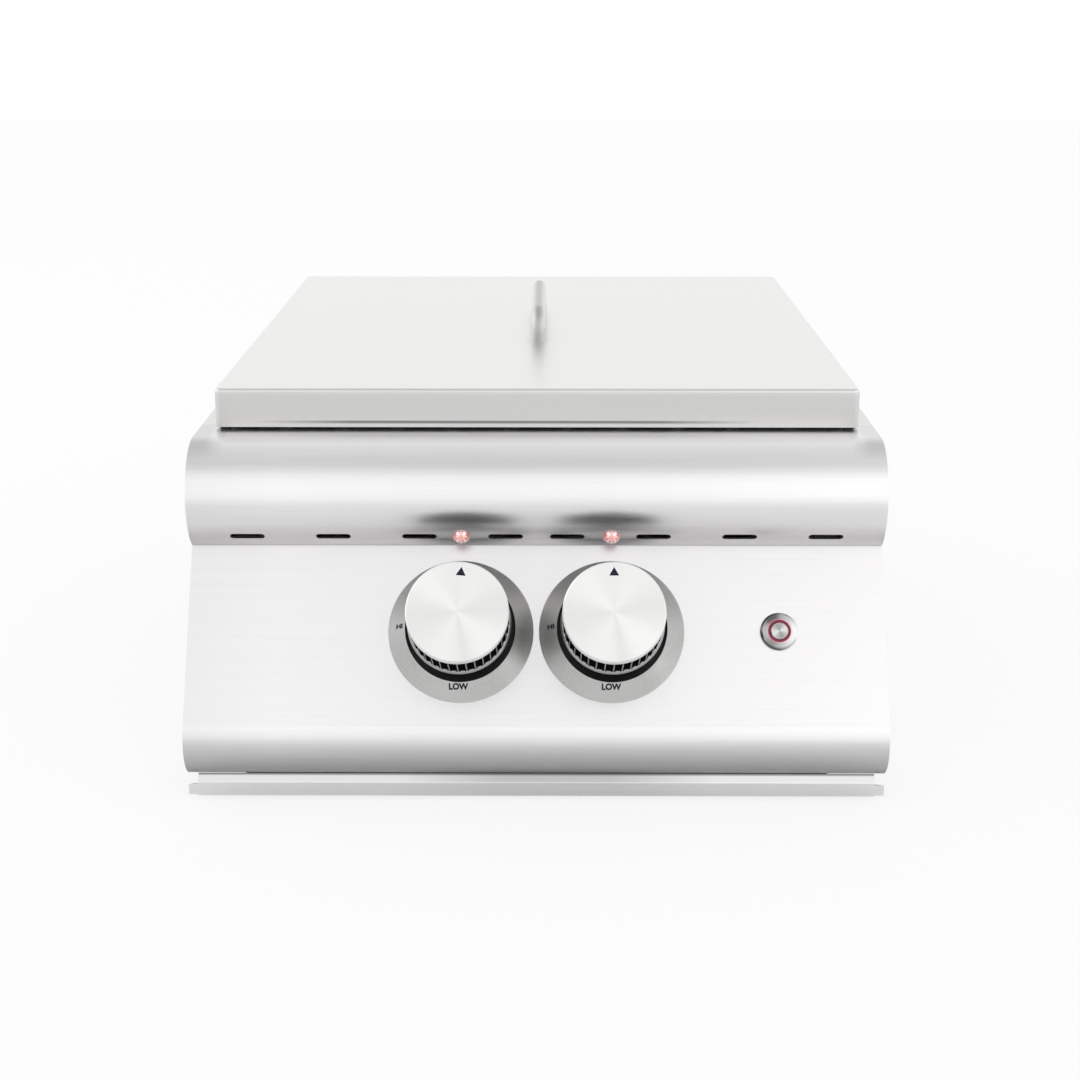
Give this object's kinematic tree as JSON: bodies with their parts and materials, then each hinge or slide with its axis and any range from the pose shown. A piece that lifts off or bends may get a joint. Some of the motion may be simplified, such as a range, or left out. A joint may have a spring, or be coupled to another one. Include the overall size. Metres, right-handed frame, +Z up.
{
  "type": "built-in power burner",
  "caption": "Built-in outdoor kitchen gas power burner: sloped control panel with knobs and push button, lift-off lid, wok ring and grate over ring burners, slide-out drip tray.",
  "frame": {"origin": "middle of the bounding box in plan, at the underside of the box", "axes": "+X to the right as seen from the front, +Y from the control panel to the back, +Z up"},
  "size_m": [0.44, 0.6402, 0.2694],
  "materials": {
    "panel_steel": "brushed side to side",
    "lid_steel": "brushed side to side",
    "handle_steel": "polished bar",
    "box_steel": "mill finish",
    "tray_steel": "brushed side to side",
    "bezel_steel": "satin",
    "knob_steel": "spun round the axis",
    "grip_black": "moulded",
    "lamp_lens": "clear, lit red",
    "light_ring": "lit red",
    "button_steel": "spun",
    "fastener_steel": "plain",
    "valve_brass": "machined",
    "pipe_steel": "mill finish",
    "burner_iron": "cast",
    "grate_steel": "drawn rod",
    "ceramic_white": "glazed ceramic",
    "pad_rubber": "moulded"
  },
  "bodies": {
    "burner_box": {"control_panel": "panel_steel", "panel_end_left": "panel_steel", "panel_end_right": "panel_steel", "firewall": "box_steel", "panel_screws": "fastener_steel", "box_left": "box_steel", "box_right": "box_steel", "box_rear": "box_steel", "box_base": "box_steel", "grate_ledges": "box_steel", "left_lamp_lens": "lamp_lens", "right_lamp_lens": "lamp_lens", "lamp_holders": "grip_black", "left_bezel": "bezel_steel", "right_bezel": "bezel_steel", "bezel_screws": "fastener_steel", "left_spring": "fastener_steel", "right_spring": "fastener_steel", "left_valve_body": "valve_brass", "right_valve_body": "valve_brass", "valve_bonnets": "valve_brass", "burner_orifices": "valve_brass", "gas_manifold": "pipe_steel", "gas_inlet": "valve_brass", "button_body": "button_steel", "button_light_ring": "light_ring", "button_nut": "button_steel", "outer_burner": "burner_iron", "inner_burner": "burner_iron", "outer_venturi": "pipe_steel", "inner_venturi": "pipe_steel", "burner_bars": "box_steel", "burner_bolts": "fastener_steel", "igniter_electrode": "ceramic_white", "igniter_wire": "fastener_steel", "tray_guides": "box_steel"},
    "drip_tray": {"drip_tray": "tray_steel"},
    "left_knob_carrier": {"left_collar": "fastener_steel"},
    "left_knob": {"left_stem": "fastener_steel", "left_knob_cap": "knob_steel", "left_knob_grip": "grip_black", "left_knob_trim": "knob_steel"},
    "left_plug": {"left_plug": "valve_brass"},
    "right_knob_carrier": {"right_collar": "fastener_steel"},
    "right_knob": {"right_stem": "fastener_steel", "right_knob_cap": "knob_steel", "right_knob_grip": "grip_black", "right_knob_trim": "knob_steel"},
    "right_plug": {"right_plug": "valve_brass"},
    "button": {"button_cap": "button_steel"},
    "outer_shutter": {"outer_shutter": "pipe_steel"},
    "inner_shutter": {"inner_shutter": "pipe_steel"},
    "cooking_grate": {"cooking_grate": "grate_steel"},
    "wok_ring": {"wok_ring": "grate_steel"},
    "lid": {"lid_shell": "lid_steel", "lid_handle": "handle_steel", "lid_posts": "handle_steel", "lid_bolts": "fastener_steel", "lid_pads": "pad_rubber"}
  },
  "joints": [
    {"name": "drip_tray_slide", "type": "slide", "parent": "burner_box", "child": "drip_tray", "axis": [0, -1, 0], "range_m": [0, 0.4]},
    {"name": "left_knob_push", "type": "slide", "parent": "burner_box", "child": "left_knob_carrier", "axis": [0, 0.8526, -0.5225], "range_m": [0, 0.004], "stiffness_N_per_m": 3000, "springref_m": -0.002, "deforming": ["left_spring"]},
    {"name": "left_knob_turn", "type": "hinge", "parent": "left_knob_carrier", "child": "left_knob", "pos_m": [-0.0475, -0.26005, 0.10413], "axis": [0, -0.8526, 0.5225], "range_deg": [0, 180]},
    {"name": "left_plug_turn", "type": "hinge", "parent": "burner_box", "child": "left_plug", "pos_m": [-0.0475, -0.2285, 0.08479], "axis": [0, -0.8526, 0.5225], "range_deg": [0, 180]},
    {"name": "right_knob_push", "type": "slide", "parent": "burner_box", "child": "right_knob_carrier", "axis": [0, 0.8526, -0.5225], "range_m": [0, 0.004], "stiffness_N_per_m": 3000, "springref_m": -0.002, "deforming": ["right_spring"]},
    {"name": "right_knob_turn", "type": "hinge", "parent": "right_knob_carrier", "child": "right_knob", "pos_m": [0.0475, -0.26005, 0.10413], "axis": [0, -0.8526, 0.5225], "range_deg": [0, 180]},
    {"name": "right_plug_turn", "type": "hinge", "parent": "burner_box", "child": "right_plug", "pos_m": [0.0475, -0.2285, 0.08479], "axis": [0, -0.8526, 0.5225], "range_deg": [0, 180]},
    {"name": "button_press", "type": "slide", "parent": "burner_box", "child": "button", "axis": [0, 0.8526, -0.5225], "range_m": [0, 0.002], "stiffness_N_per_m": 600, "springref_m": -0.002},
    {"name": "outer_shutter_turn", "type": "hinge", "parent": "burner_box", "child": "outer_shutter", "pos_m": [-0.0475, -0.18927, 0.07852], "axis": [0, 1, 0], "range_deg": [0, 60]},
    {"name": "inner_shutter_turn", "type": "hinge", "parent": "burner_box", "child": "inner_shutter", "pos_m": [0.0475, -0.18927, 0.07852], "axis": [0, 1, 0], "range_deg": [0, 60]},
    {"name": "grate_lift", "type": "slide", "parent": "burner_box", "child": "cooking_grate", "axis": [0, 0, 1], "range_m": [0, 0.1]},
    {"name": "wok_ring_lift", "type": "slide", "parent": "cooking_grate", "child": "wok_ring", "axis": [0, 0, 1], "range_m": [0, 0.1]},
    {"name": "lid_lift", "type": "slide", "parent": "wok_ring", "child": "lid", "axis": [0, 0, 1], "range_m": [0, 0.25]}
  ],
  "couplings": [
    {"joint": "left_plug_turn", "follows": "left_knob_turn", "ratio": 1},
    {"joint": "right_plug_turn", "follows": "right_knob_turn", "ratio": 1}
  ]
}
